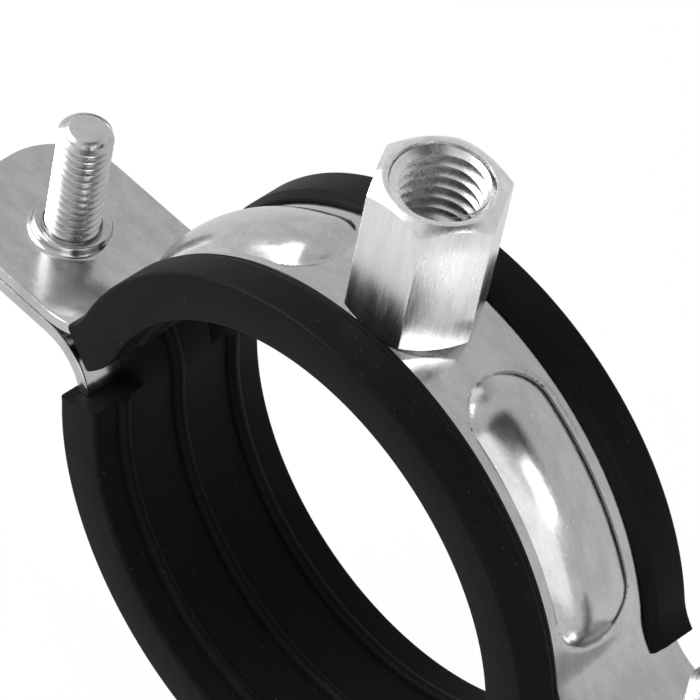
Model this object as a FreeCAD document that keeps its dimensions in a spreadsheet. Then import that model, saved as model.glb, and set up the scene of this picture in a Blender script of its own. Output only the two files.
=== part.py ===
import FreeCAD, Part
import math
import os

import Sketcher

# Rubber lined pipe clamp: two bent half bands with rubber linings, a welded connection nut and two screws.
# Frame: Y runs along the pipe through the middle of the ring, and +Z points out of the connection nut.
# The flanges meet in a level plane a little above the pipe's axis.

SIZES = {
    # The pipe and the rubber lining
    "pipe_radius": 27.5,
    "rib_height": 0.8,
    "rib_width": 1.7,
    "rib_pitch": 7.8,
    "lining_base": 3.0,
    "lining_side": 1.8,
    "lining_gap": 0.05,
    "groove_run": 20.0,
    "lip_thickness": 0.85,
    "lip_reach": 3.6,
    "lining_end_heading": 44.0,
    # The steel bands
    "band_width": 20.0,
    "band_thickness": 1.5,
    "upper_flare": 8.0,
    "lower_flare": 6.0,
    "flange_end": 11.6,
    "flange_corner": 8.0,
    "flange_gap": 0.2,
    "parting_height": 2.2,
    "bead_height": 1.0,
    "bead_width": 9.6,
    "bead_start": 25.5,
    "bead_sweep": 30.0,
    "bead_slope": 1.1,
    # The clamping screws and their tapped collars
    "screw_spacing": 92.0,
    "screw_radius": 3.0,
    "screw_above": 15.0,
    "screw_tip": 0.7,
    "head_play": 0.05,
    "thread_play": 0.05,
    "hole_play": 0.35,
    "collar_radius": 4.3,
    "collar_height": 1.1,
    "collar_bevel": 0.45,
    "head_radius": 5.8,
    "head_height": 3.6,
    "head_bevel": 1.0,
    "recess_length": 6.2,
    "recess_slot": 1.3,
    "recess_depth": 2.0,
    # The connection nut
    "nut_flats": 13.0,
    "nut_top": 50.3,
    "nut_foot": 0.9,
    "nut_seat_play": 0.03,
    "nut_foot_radius": 5.9,
    "nut_face_radius": 5.9,
    "nut_chamfer": 38.0,
    "nut_base_radius": 6.5,
    "nut_hole_radius": 4.25,
    "nut_hole_depth": 9.0,
    "nut_mouth_radius": 5.3,
    "nut_small_radius": 3.4,
    "nut_step": 0.6,
    "nut_relief_radius": 3.9,
    "nut_relief_height": 0.8,
}

# How close in mm an edge must lie to the place that picks it out
MATCH = 1e-4

doc = FreeCAD.newDocument("PipeClamp")
sheet = doc.addObject("Spreadsheet::Sheet", "Sizes")
for row, (alias, number) in enumerate(SIZES.items(), start=1):
    sheet.set(f"A{row}", alias.replace("_", " "))
    sheet.set(f"B{row}", str(number))
    sheet.setAlias(f"B{row}", alias)
doc.recompute()

# Sizes that follow from the driving ones, as formulas that the sketches and primitives are bound to
LINING_INNER = "(Sizes.pipe_radius + Sizes.rib_height)"
BAND_INNER = f"({LINING_INNER} + Sizes.lining_base + Sizes.lining_gap)"
BAND_OUTER = f"({BAND_INNER} + Sizes.band_thickness)"
LIP_INNER = f"({BAND_OUTER} + Sizes.lining_gap)"
LIP_OUTER = f"({LIP_INNER} + Sizes.lip_thickness)"
BEAD_TOP = f"({BAND_OUTER} + Sizes.bead_height)"
SCREW_X = "(Sizes.screw_spacing / 2)"
FLANGE_REACH = f"({SCREW_X} + Sizes.flange_end)"
UPPER_PARTING = "Sizes.parting_height"
LOWER_PARTING = "(-Sizes.parting_height)"
FLANGE_TOP = f"({UPPER_PARTING} + Sizes.flange_gap / 2 + Sizes.band_thickness)"
HEAD_SEAT = f"({UPPER_PARTING} - Sizes.flange_gap / 2 - Sizes.band_thickness - Sizes.head_play)"
SCREW_TOP = f"({FLANGE_TOP} + Sizes.screw_above)"
LINING_WIDTH = "(Sizes.band_width + 2 * Sizes.lining_side)"
WINDOW_WIDTH = "(Sizes.band_width - 2 * Sizes.lip_reach)"
HEX_BOTTOM = f"({BAND_OUTER} + Sizes.nut_foot)"

# The radius of each half's outward bend, and the height of its flange plane with that half upright
UPPER_BEND = ("Sizes.upper_flare", UPPER_PARTING)
LOWER_BEND = ("Sizes.lower_flare", LOWER_PARTING)


def value(formula):
    """Work out a formula of the sheet's cells as a plain number."""
    return float(sheet.evalExpression(formula))


def bind(thing, **formulas):
    """Bind properties of an object to formulas of the sheet's cells."""
    for name, formula in formulas.items():
        thing.setExpression(name, formula)


def new_body(name):
    """Add an empty body whose label is the name of its node."""
    body = doc.addObject("PartDesign::Body", f"{name}_body")
    body.Label = name
    return body


def origin_plane(body, role):
    """Find one of a body's own origin planes by its role."""
    return next(item for item in body.Origin.OriginFeatures if item.Role == role)


def new_sketch(body, name, role):
    """Add an empty sketch on one of the body's origin planes."""
    sketch = body.newObject("Sketcher::SketchObject", name)
    sketch.AttachmentSupport = (origin_plane(body, role), [""])
    sketch.MapMode = "FlatFace"
    return sketch


def constrain(sketch, name, formula, *what):
    """Add a named dimension and bind it to a formula."""
    index = sketch.addConstraint(Sketcher.Constraint(*what, value(formula)))
    sketch.renameConstraint(index, name)
    sketch.setExpression(f"Constraints.{name}", formula)


def join(sketch, kind, first, first_point, second, second_point):
    """Join two points of the sketch by a coincident or tangent constraint."""
    sketch.addConstraint(Sketcher.Constraint(kind, first, first_point, second, second_point))


def arc(sketch, centre_x, centre_z, radius, start, end):
    """Add an arc about a centre, from one angle to the other, and give its index."""
    circle = Part.Circle(FreeCAD.Vector(centre_x, centre_z, 0), FreeCAD.Vector(0, 0, 1), radius)
    return sketch.addGeometry(Part.ArcOfCircle(circle, start, end), False)


def line(sketch, start, end):
    """Add a straight line between two points of the sketch, and give its index."""
    segment = Part.LineSegment(FreeCAD.Vector(*start, 0), FreeCAD.Vector(*end, 0))
    return sketch.addGeometry(segment, False)


def flare_centre(flare, parting):
    """Give the formulas of the place about which a band bends outwards into its flange."""
    height = f"({parting} + Sizes.flange_gap / 2 + Sizes.band_thickness + {flare})"
    reach = f"({BAND_OUTER} + {flare})"
    return f"sqrt({reach}^2 - {height}^2)", height


def strip_sketch(body, name, inner, outer, bend, heading=None):
    """Draw half of a strip that follows the ring, then bends outwards.

    With no heading the strip runs on into a straight flange. With one, it is cut square to its own run
    where it still points that many degrees below the flange.
    """
    sketch = new_sketch(body, name, "XZ_Plane")
    centre_x, centre_z = flare_centre(*bend)
    at_x, at_z = value(centre_x), value(centre_z)
    spread = math.hypot(at_x, at_z)
    meet = math.atan2(at_z, at_x)
    turn = 1.5 * math.pi - (math.radians(value(heading)) if heading else 0)
    small, large = value(inner), value(outer)
    outer_arc = arc(sketch, 0, 0, large, meet, math.pi / 2)
    outer_bend = arc(sketch, at_x, at_z, spread - large, math.pi + meet, turn)
    inner_bend = arc(sketch, at_x, at_z, spread - small, math.pi + meet, turn)
    inner_arc = arc(sketch, 0, 0, small, meet, math.pi / 2)
    middle = line(sketch, (0, small), (0, large))
    join(sketch, "Coincident", outer_arc, 3, -1, 1)
    join(sketch, "Coincident", inner_arc, 3, -1, 1)
    join(sketch, "Coincident", inner_bend, 3, outer_bend, 3)
    constrain(sketch, "centre_x", centre_x, "DistanceX", -1, 1, outer_bend, 3)
    constrain(sketch, "centre_z", centre_z, "DistanceY", -1, 1, outer_bend, 3)
    constrain(sketch, "outer_radius", outer, "Radius", outer_arc)
    constrain(sketch, "inner_radius", inner, "Radius", inner_arc)
    join(sketch, "Tangent", outer_arc, 1, outer_bend, 1)
    join(sketch, "Tangent", inner_arc, 1, inner_bend, 1)
    sketch.addConstraint(Sketcher.Constraint("PointOnObject", outer_arc, 2, -2))
    sketch.addConstraint(Sketcher.Constraint("PointOnObject", inner_arc, 2, -2))
    join(sketch, "Coincident", inner_arc, 2, middle, 1)
    join(sketch, "Coincident", outer_arc, 2, middle, 2)

    def bend_end(radius):
        return at_x + radius * math.cos(turn), at_z + radius * math.sin(turn)

    if heading:
        cut = line(sketch, bend_end(spread - small), bend_end(spread - large))
        join(sketch, "Coincident", inner_bend, 2, cut, 1)
        join(sketch, "Coincident", outer_bend, 2, cut, 2)
        sketch.addConstraint(Sketcher.Constraint("PointOnObject", outer_bend, 3, cut))
        index = sketch.addConstraint(Sketcher.Constraint("Angle", cut, turn - math.pi))
        sketch.renameConstraint(index, "cut_angle")
        sketch.setExpression("Constraints.cut_angle", f"90 deg - {heading} * 1 deg")
        return sketch
    reach = value(FLANGE_REACH)
    top, bottom = at_z - (spread - large), at_z - (spread - small)
    flange_top = line(sketch, (at_x, top), (reach, top))
    flange_end = line(sketch, (reach, top), (reach, bottom))
    flange_bottom = line(sketch, (reach, bottom), (at_x, bottom))
    sketch.addConstraint(Sketcher.Constraint("Horizontal", flange_top))
    sketch.addConstraint(Sketcher.Constraint("Horizontal", flange_bottom))
    sketch.addConstraint(Sketcher.Constraint("Vertical", flange_end))
    join(sketch, "Tangent", outer_bend, 2, flange_top, 1)
    join(sketch, "Tangent", inner_bend, 2, flange_bottom, 2)
    join(sketch, "Coincident", flange_top, 2, flange_end, 1)
    join(sketch, "Coincident", flange_end, 2, flange_bottom, 1)
    constrain(sketch, "reach", FLANGE_REACH, "DistanceX", -1, 1, flange_top, 2)
    return sketch


def arc_sketch(body, name, inner, outer, bend):
    """Draw half of a plain ring strip that ends square where the band starts to bend outwards."""
    sketch = new_sketch(body, name, "XZ_Plane")
    centre_x, centre_z = flare_centre(*bend)
    meet = math.atan2(value(centre_z), value(centre_x))
    small, large = value(inner), value(outer)
    outer_arc = arc(sketch, 0, 0, large, meet, math.pi / 2)
    inner_arc = arc(sketch, 0, 0, small, meet, math.pi / 2)
    middle = line(sketch, (0, small), (0, large))
    foot = (small * math.cos(meet), small * math.sin(meet))
    cut = line(sketch, foot, (large * math.cos(meet), large * math.sin(meet)))
    join(sketch, "Coincident", outer_arc, 3, -1, 1)
    join(sketch, "Coincident", inner_arc, 3, -1, 1)
    constrain(sketch, "outer_radius", outer, "Radius", outer_arc)
    constrain(sketch, "inner_radius", inner, "Radius", inner_arc)
    sketch.addConstraint(Sketcher.Constraint("PointOnObject", outer_arc, 2, -2))
    sketch.addConstraint(Sketcher.Constraint("PointOnObject", inner_arc, 2, -2))
    join(sketch, "Coincident", inner_arc, 2, middle, 1)
    join(sketch, "Coincident", outer_arc, 2, middle, 2)
    join(sketch, "Coincident", inner_arc, 1, cut, 1)
    join(sketch, "Coincident", outer_arc, 1, cut, 2)
    sketch.addConstraint(Sketcher.Constraint("PointOnObject", -1, 1, cut))
    index = sketch.addConstraint(Sketcher.Constraint("Angle", cut, meet))
    sketch.renameConstraint(index, "cut_angle")
    sketch.setExpression("Constraints.cut_angle", f"atan2({centre_z}; {centre_x})")
    return sketch


def across(body, kind, name, sketch, width):
    """Pad or pocket a sketch by a width, half to each side of the middle plane."""
    feature = body.newObject(kind, name)
    feature.Profile = sketch
    feature.Type = "Length"
    feature.SideType = "Symmetric"
    bind(feature, Length=width)
    return feature


def cut_through(body, name, sketch):
    """Cut a sketch through the whole body, both ways."""
    feature = body.newObject("PartDesign::Pocket", name)
    feature.Profile = sketch
    feature.Type = "ThroughAll"
    feature.SideType = "Symmetric"
    return feature


def circle_sketch(body, name, radius):
    """Draw a circle about the place of the screw, on the level plane through the pipe's axis."""
    sketch = new_sketch(body, name, "XY_Plane")
    centre = FreeCAD.Vector(value(SCREW_X), 0, 0)
    circle = Part.Circle(centre, FreeCAD.Vector(0, 0, 1), value(radius))
    index = sketch.addGeometry(circle, False)
    sketch.addConstraint(Sketcher.Constraint("PointOnObject", index, 3, -1))
    constrain(sketch, "centre_x", SCREW_X, "DistanceX", -1, 1, index, 3)
    constrain(sketch, "hole_radius", radius, "Radius", index)
    return sketch


def closed_outline(sketch, points):
    """Draw straight lines round a list of points, joined at their ends, and give their indices."""
    ring = points[1:] + points[:1]
    indices = [line(sketch, start, end) for start, end in zip(points, ring)]
    for first, second in zip(indices, indices[1:] + indices[:1]):
        join(sketch, "Coincident", first, 2, second, 1)
    return indices


def picked_edges(feature, wanted):
    """Give a feature and the names of those of its edges that a test picks out."""
    return feature, [f"Edge{n}" for n, edge in enumerate(feature.Shape.Edges, start=1) if wanted(edge)]


def fillet_edges(body, name, base, radius, wanted):
    """Round the edges of a feature that a test of each edge picks out."""
    fillet = body.newObject("PartDesign::Fillet", name)
    fillet.Base = picked_edges(base, wanted)
    bind(fillet, Radius=radius)


def chamfer_edges(body, name, base, size, wanted):
    """Break the edges of a feature that a test of each edge picks out."""
    chamfer = body.newObject("PartDesign::Chamfer", name)
    chamfer.Base = picked_edges(base, wanted)
    bind(chamfer, Size=size)


def flange_corner(edge):
    """Tell whether an edge is one of the two upright corners of the flange's end."""
    centre = edge.CenterOfMass
    at_end = abs(centre.x - value(FLANGE_REACH)) < MATCH
    return at_end and abs(abs(centre.y) - value("Sizes.band_width") / 2) < MATCH


def collar_rim(edge):
    """Tell whether an edge is the outer rim of the tapped collar."""
    if not hasattr(edge.Curve, "Radius"):
        return False
    above = edge.CenterOfMass.z - value(f"{FLANGE_TOP} + Sizes.collar_height")
    wider = edge.Curve.Radius - value("Sizes.collar_radius")
    return abs(above) < MATCH and abs(wider) < MATCH


def radial_sketch(body, name, turn):
    """Add a sketch on a plane through the ring's axis, turned from upright by an angle in degrees."""
    sketch = new_sketch(body, name, "YZ_Plane")
    tilt = FreeCAD.Rotation(FreeCAD.Vector(1, 0, 0), value(turn))
    sketch.AttachmentOffset = FreeCAD.Placement(FreeCAD.Vector(), tilt)
    sketch.setExpression("AttachmentOffset.Rotation.Angle", f"({turn}) * 1 deg")
    return sketch


def fixed_outline(sketch, spots):
    """Draw a closed outline through places given by formulas, each place bound to them."""
    edges = closed_outline(sketch, [(value(across_part), value(up)) for across_part, up in spots])
    for number, (edge, (sideways, up)) in enumerate(zip(edges, spots)):
        if sideways == "0":
            sketch.addConstraint(Sketcher.Constraint("PointOnObject", edge, 1, -2))
        else:
            constrain(sketch, f"corner_{number}_across", sideways, "DistanceX", -1, 1, edge, 1)
        constrain(sketch, f"corner_{number}_up", up, "DistanceY", -1, 1, edge, 1)


def bead_section(body, name, low, high, wide, turn):
    """Draw the trapezium section of a pressed bead at an angle round the ring."""
    sketch = radial_sketch(body, name, turn)
    slim = f"({wide} - Sizes.bead_slope)"
    fixed_outline(sketch, [(wide, low), (slim, high), (f"-{slim}", high), (f"-{wide}", low)])
    return sketch


def bead_end(body, name, low, high, wide, turn):
    """Round one end of a pressed bead with a low cone that stands square on the band."""
    sketch = radial_sketch(body, f"{name}_section", turn)
    fixed_outline(sketch, [("0", low), (wide, low), (f"({wide} - Sizes.bead_slope)", high), ("0", high)])
    cone = body.newObject("PartDesign::Revolution", name)
    cone.Profile = sketch
    cone.ReferenceAxis = (sketch, ["V_Axis"])
    doc.recompute()


def swept(body, kind, name, sketch, angle):
    """Turn a section about the ring's own axis by an angle, away from the top of the ring."""
    feature = body.newObject(kind, name)
    feature.Profile = sketch
    feature.ReferenceAxis = (sketch, ["H_Axis"])
    bind(feature, Angle=angle)
    return feature


def build_upper_band():
    """Build the upper half band, with its pressed beads and the tapped collars in its flanges."""
    body = new_body("upper_band")
    profile = strip_sketch(body, "upper_band_profile", BAND_INNER, BAND_OUTER, UPPER_BEND)
    steel = across(body, "PartDesign::Pad", "upper_band_sheet", profile, "Sizes.band_width")
    doc.recompute()
    fillet_edges(body, "upper_flange_corners", steel, "Sizes.flange_corner", flange_corner)
    doc.recompute()
    middle = f"({BAND_OUTER} - Sizes.band_thickness / 2)"
    half = "(Sizes.bead_width / 2)"
    last = "(Sizes.bead_start + Sizes.bead_sweep)"
    section = bead_section(body, "bead_profile", middle, BEAD_TOP, half, "Sizes.bead_start")
    swept(body, "PartDesign::Revolution", "bead", section, "Sizes.bead_sweep")
    doc.recompute()
    bead_end(body, "bead_upper_end", middle, BEAD_TOP, half, "Sizes.bead_start")
    bead_end(body, "bead_lower_end", middle, BEAD_TOP, half, last)
    hollow_top = f"({BAND_INNER} + Sizes.bead_height)"
    hollow = bead_section(body, "bead_hollow_profile", f"({BAND_INNER} - Sizes.lining_gap)", hollow_top,
                          f"({half} - Sizes.band_thickness / 2)", "Sizes.bead_start")
    swept(body, "PartDesign::Groove", "bead_hollow", hollow, "Sizes.bead_sweep")
    doc.recompute()
    disc = circle_sketch(body, "collar_disc", "Sizes.collar_radius")
    disc.setExpression("AttachmentOffset.Base.z", f"{UPPER_PARTING} + Sizes.flange_gap / 2")
    collar = body.newObject("PartDesign::Pad", "tapped_collar")
    collar.Profile = disc
    bind(collar, Length="Sizes.band_thickness + Sizes.collar_height")
    doc.recompute()
    chamfer_edges(body, "collar_bevel", collar, "Sizes.collar_bevel", collar_rim)
    hole = circle_sketch(body, "tapped_hole_circle", "Sizes.screw_radius + Sizes.thread_play")
    cut_through(body, "tapped_hole", hole)
    mirror_whole(body)
    return body


def build_lower_band():
    """Build the lower half band, which has plain clearance holes in its flanges."""
    body = new_body("lower_band")
    profile = strip_sketch(body, "lower_band_profile", BAND_INNER, BAND_OUTER, LOWER_BEND)
    steel = across(body, "PartDesign::Pad", "lower_band_sheet", profile, "Sizes.band_width")
    doc.recompute()
    fillet_edges(body, "lower_flange_corners", steel, "Sizes.flange_corner", flange_corner)
    hole = circle_sketch(body, "screw_hole_circle", "Sizes.screw_radius + Sizes.hole_play")
    cut_through(body, "screw_hole", hole)
    mirror_whole(body)
    turn_over(body)
    return body


def mirror_whole(body):
    """Repeat the half that is modelled on the other side of the middle of the ring."""
    mirrored = body.newObject("PartDesign::Mirrored", f"{body.Label}_mirror")
    mirrored.TransformMode = "Whole shape"
    mirrored.MirrorPlane = (origin_plane(body, "YZ_Plane"), [""])
    body.Tip = mirrored


def turn_over(body):
    """Turn a half of the clamp about the pipe's axis, so that it becomes the lower half."""
    body.Placement = FreeCAD.Placement(FreeCAD.Vector(), FreeCAD.Rotation(FreeCAD.Vector(0, 1, 0), 180))


def build_lining(name, bend, follows_flare):
    """Build a rubber lining: a channel that wraps the edges of the band, with ribs round its bore."""
    body = new_body(name)
    end = "Sizes.lining_end_heading"

    def outline(part, inner, outer):
        if follows_flare:
            return strip_sketch(body, f"{name}_{part}", inner, outer, bend, end)
        return arc_sketch(body, f"{name}_{part}", inner, outer, bend)

    def clear_outline(part, inner, outer):
        return strip_sketch(body, f"{name}_{part}", inner, outer, bend, f"({end} - Sizes.groove_run)")

    block = outline("outline", LINING_INNER, LIP_OUTER)
    across(body, "PartDesign::Pad", f"{name}_block", block, LINING_WIDTH)
    doc.recompute()
    for number in (-1, 0, 1):
        rib = outline(f"rib_{number + 1}", "Sizes.pipe_radius", f"({LINING_INNER} + Sizes.rib_height / 2)")
        rib.setExpression("AttachmentOffset.Base.z", f"{number} * Sizes.rib_pitch")
        across(body, "PartDesign::Pad", f"{name}_rib_pad_{number + 1}", rib, "Sizes.rib_width")
        doc.recompute()
    groove = clear_outline("groove", f"({LINING_INNER} + Sizes.lining_base)", LIP_INNER)
    groove_width = "Sizes.band_width + 2 * Sizes.lining_gap"
    across(body, "PartDesign::Pocket", f"{name}_band_groove", groove, groove_width)
    above_lips = f"({LIP_OUTER} + Sizes.lip_thickness)"
    window = clear_outline("window", f"({LIP_INNER} - Sizes.lining_gap)", above_lips)
    across(body, "PartDesign::Pocket", f"{name}_window", window, WINDOW_WIDTH)
    mirror_whole(body)
    if not follows_flare:
        turn_over(body)
    return body


def primitive(kind, name, **formulas):
    """Add a Part primitive and bind its sizes to formulas."""
    solid = doc.addObject(kind, name)
    bind(solid, **formulas)
    return solid


def raised(solid, height):
    """Bind the height at which a primitive stands."""
    solid.setExpression("Placement.Base.z", height)
    return solid


def combine(kind, name, first, second):
    """Fuse, cut or intersect two solids."""
    result = doc.addObject(kind, name)
    result.Base = first
    result.Tool = second
    return result


def build_nut():
    """Build the welded nut: chamfered ends, a foot on the band, and a large and a small thread."""
    tall = f"(Sizes.nut_top - {HEX_BOTTOM})"
    corner = "Sizes.nut_flats / sqrt(3)"
    prism = primitive("Part::Prism", "nut_hexagon", Circumradius=corner, Height=tall)
    raised(prism, HEX_BOTTOM)
    spread = f"{tall} / tan(Sizes.nut_chamfer * 1 deg)"
    wide_foot = f"Sizes.nut_face_radius + {spread}"
    top_cone = primitive("Part::Cone", "nut_top_cone", Height=tall, Radius1=wide_foot,
                         Radius2="Sizes.nut_face_radius")
    raised(top_cone, HEX_BOTTOM)
    wide_head = f"Sizes.nut_base_radius + {spread}"
    base_cone = primitive("Part::Cone", "nut_base_cone", Height=tall, Radius1="Sizes.nut_base_radius",
                          Radius2=wide_head)
    raised(base_cone, HEX_BOTTOM)
    chamfered = combine("Part::Common", "nut_chamfered", prism, top_cone)
    shaped = combine("Part::Common", "nut_shaped", chamfered, base_cone)
    sunk = f"({BAND_OUTER} - Sizes.band_thickness)"
    foot = primitive("Part::Cylinder", "nut_foot_disc", Radius="Sizes.nut_foot_radius",
                     Height=f"{HEX_BOTTOM} - {sunk} + Sizes.nut_foot / 2")
    raised(foot, sunk)
    footed = combine("Part::Fuse", "nut_with_foot", shaped, foot)
    seat = f"{BAND_OUTER} + Sizes.nut_seat_play"
    ring = primitive("Part::Cylinder", "nut_seat_ring", Radius=seat, Height="Sizes.band_width")
    ring.Placement = FreeCAD.Placement(FreeCAD.Vector(), FreeCAD.Rotation(FreeCAD.Vector(1, 0, 0), 90))
    ring.setExpression("Placement.Base.y", "Sizes.band_width / 2")
    seated = combine("Part::Cut", "nut_seated", footed, ring)
    deep = "(Sizes.nut_top - Sizes.nut_hole_depth)"
    large = primitive("Part::Cylinder", "nut_large_hole", Radius="Sizes.nut_hole_radius",
                      Height="Sizes.nut_hole_depth")
    raised(large, deep)
    small = primitive("Part::Cylinder", "nut_small_hole", Radius="Sizes.nut_small_radius",
                      Height=f"{deep} - {sunk}")
    raised(small, sunk)
    step = primitive("Part::Cone", "nut_step_cone", Radius1="Sizes.nut_small_radius",
                     Radius2="Sizes.nut_hole_radius", Height="Sizes.nut_step")
    raised(step, f"{deep} - Sizes.nut_step")
    mouth_depth = "(Sizes.nut_mouth_radius - Sizes.nut_hole_radius)"
    mouth = primitive("Part::Cone", "nut_mouth_cone", Radius1="Sizes.nut_hole_radius",
                      Radius2="Sizes.nut_mouth_radius", Height=mouth_depth)
    raised(mouth, f"Sizes.nut_top - {mouth_depth}")
    relief = primitive("Part::Cylinder", "nut_thread_relief", Radius="Sizes.nut_relief_radius",
                       Height=f"{BAND_OUTER} + Sizes.nut_relief_height - {sunk}")
    raised(relief, sunk)
    nut = seated
    for number, hole in enumerate((large, small, step, mouth, relief), start=1):
        nut = combine("Part::Cut", f"nut_bored_{number}", nut, hole)
    nut.Label = "connection_nut"
    return nut


def build_screw(name, side):
    """Build a clamping screw that stands with its tip up, its head under the lower flange."""
    body = new_body(name)
    sketch = new_sketch(body, f"{name}_outline", "XZ_Plane")
    below = f"({HEAD_SEAT} - Sizes.head_height)"
    core = "(Sizes.screw_radius - Sizes.screw_tip)"
    crown = "(Sizes.head_radius - Sizes.head_bevel)"
    spots = [("0", below), (crown, below), ("Sizes.head_radius", f"({below} + Sizes.head_bevel)"),
             ("Sizes.head_radius", HEAD_SEAT), ("Sizes.screw_radius", HEAD_SEAT),
             ("Sizes.screw_radius", f"({SCREW_TOP} - Sizes.screw_tip)"), (core, SCREW_TOP),
             ("0", SCREW_TOP)]
    fixed_outline(sketch, spots)
    turned = body.newObject("PartDesign::Revolution", f"{name}_turned")
    turned.Profile = sketch
    turned.ReferenceAxis = (sketch, ["V_Axis"])
    doc.recompute()
    recess = new_sketch(body, f"{name}_recess", "XY_Plane")
    recess.setExpression("AttachmentOffset.Base.z", below)
    long_half, slim_half = "(Sizes.recess_length / 2)", "(Sizes.recess_slot / 2)"
    long_back, slim_back = f"-{long_half}", f"-{slim_half}"
    cross = [(long_half, slim_back), (long_half, slim_half), (slim_half, slim_half),
             (slim_half, long_half), (slim_back, long_half), (slim_back, slim_half),
             (long_back, slim_half), (long_back, slim_back), (slim_back, slim_back),
             (slim_back, long_back), (slim_half, long_back), (slim_half, slim_back)]
    fixed_outline(recess, cross)
    pocket = body.newObject("PartDesign::Pocket", f"{name}_cross")
    pocket.Profile = recess
    pocket.Type = "Length"
    pocket.Reversed = True
    bind(pocket, Length="Sizes.recess_depth")
    body.Tip = pocket
    body.setExpression("Placement.Base.x", f"{side} * {SCREW_X}")
    doc.recompute()
    return body


def check_and_write(nodes):
    """Stop on any failed object, then write each node's solid to its own file."""
    doc.recompute()
    failed = [item.Name for item in doc.Objects if {"Invalid", "Error"} & set(item.State)]
    if failed:
        raise RuntimeError(f"these objects failed: {failed}")
    os.makedirs("parts", exist_ok=True)
    for node in nodes:
        shape = node.Shape
        if shape.isNull() or not shape.isValid():
            raise RuntimeError(f"{node.Label} has no valid shape")
        shape.exportStep(f"parts/{node.Label}.step")
        box = shape.BoundBox
        print(f"{node.Label}: {len(shape.Solids)} solid, {shape.Volume:.1f} cubic mm, "
              f"x {box.XMin:.1f} to {box.XMax:.1f}, y {box.YMin:.1f} to {box.YMax:.1f}, "
              f"z {box.ZMin:.1f} to {box.ZMax:.1f}")


check_and_write([
    build_upper_band(),
    build_lower_band(),
    build_lining("upper_lining", UPPER_BEND, True),
    build_lining("lower_lining", LOWER_BEND, False),
    build_nut(),
    build_screw("left_screw", "-1"),
    build_screw("right_screw", "1"),
])
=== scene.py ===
"""Dress a rubber lined pipe clamp: zinc plated bands, a hexagonal nut, rolled screws and black rubber."""

import logging
import math
from collections.abc import Callable
from dataclasses import dataclass
from enum import Enum

import bmesh
import bpy
import numpy as np
from mathutils import Matrix, Vector


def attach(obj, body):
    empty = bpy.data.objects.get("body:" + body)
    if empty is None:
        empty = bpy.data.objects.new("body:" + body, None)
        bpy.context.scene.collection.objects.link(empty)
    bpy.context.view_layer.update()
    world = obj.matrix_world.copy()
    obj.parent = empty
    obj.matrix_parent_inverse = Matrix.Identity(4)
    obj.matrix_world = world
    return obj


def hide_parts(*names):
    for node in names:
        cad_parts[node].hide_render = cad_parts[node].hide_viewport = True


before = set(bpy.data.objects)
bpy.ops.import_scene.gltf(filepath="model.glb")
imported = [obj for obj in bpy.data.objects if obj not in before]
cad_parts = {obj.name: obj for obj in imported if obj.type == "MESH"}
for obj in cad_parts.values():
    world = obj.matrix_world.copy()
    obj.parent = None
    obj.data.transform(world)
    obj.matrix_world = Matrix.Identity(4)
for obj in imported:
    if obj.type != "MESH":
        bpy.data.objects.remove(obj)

LOG = logging.getLogger("clamp")
MM = 0.001
FULL_TURN = 2 * math.pi
SHARP_ANGLE = 32.0
MERGE_DISTANCE = 0.002
SMALLEST_EDGE = 0.001
STRAIGHT_ON = 0.9999
FINE_DETAIL = 4.0
FINE_SHARE = 0.6
BROAD_DETAIL = 2.0
BROAD_SCALE = 0.18
SPECK_SPREAD = 0.16
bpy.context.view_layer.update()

Point = tuple[float, float]
Station = tuple[float, float, float, float]


class Half(Enum):
    """The two halves of the clamp, each with the sense of its height."""

    UPPER = 1
    LOWER = -1


class Side(Enum):
    """The two sides of the clamp, each with the sense of its X coordinate."""

    LEFT = -1
    RIGHT = 1


@dataclass(frozen=True)
class ClampSizes:
    """The clamp's sizes in millimetres, as the solids have them."""

    pipe_radius: float = 27.5
    rib_height: float = 0.8
    rib_width: float = 1.7
    rib_pitch: float = 7.8
    lining_width: float = 23.6
    lining_end_heading: float = 44.0
    lip_outer: float = 33.75
    lip_reach: float = 3.6
    lining_gap: float = 0.05
    band_inner: float = 31.35
    band_outer: float = 32.85
    band_width: float = 20.0
    flange_reach: float = 57.6
    flange_corner: float = 8.0
    flange_gap: float = 0.2
    parting_height: float = 2.2
    upper_flare: float = 8.0
    lower_flare: float = 6.0
    screw_x: float = 46.0
    screw_radius: float = 3.0
    screw_above: float = 15.0

    @property
    def lining_inner(self) -> float:
        """Give the radius of the bore between the ribs."""
        return self.pipe_radius + self.rib_height

    @property
    def thickness(self) -> float:
        """Give the thickness of the steel sheet."""
        return self.band_outer - self.band_inner

    @property
    def flange_top(self) -> float:
        """Give the height of the upper flange's top face."""
        return self.parting_height + self.flange_gap / 2 + self.thickness

    @property
    def flange_bottom(self) -> float:
        """Give the height of the lower flange's bottom face."""
        return self.parting_height - self.flange_gap / 2 - self.thickness


SIZES = ClampSizes()


# Meshes


def link(name: str, mesh: bpy.types.Mesh) -> bpy.types.Object:
    """Make an object of a mesh and put it in the scene.

    Args:
        name: The name of the piece.
        mesh: Its mesh, already in place.

    Returns:
        The new object, at the origin.
    """
    piece = bpy.data.objects.new(name, mesh)
    bpy.context.scene.collection.objects.link(piece)
    return piece


def mesh_piece(name: str, points: np.ndarray, faces: list[tuple[int, ...]],
               sharp: float = SHARP_ANGLE) -> bpy.types.Object:
    """Make a smooth shaded piece from points in millimetres.

    Args:
        name: The name of the piece.
        points: The points, one row each, in millimetres.
        faces: The faces, as indices of the points.
        sharp: The angle in degrees past which an edge stays sharp.

    Returns:
        The new object, with its doubles merged and its faces pointing outwards.
    """
    mesh = bpy.data.meshes.new(name)
    mesh.from_pydata((points * MM).tolist(), [], faces)
    tidy_mesh(mesh, sharp)
    return link(name, mesh)


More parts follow.
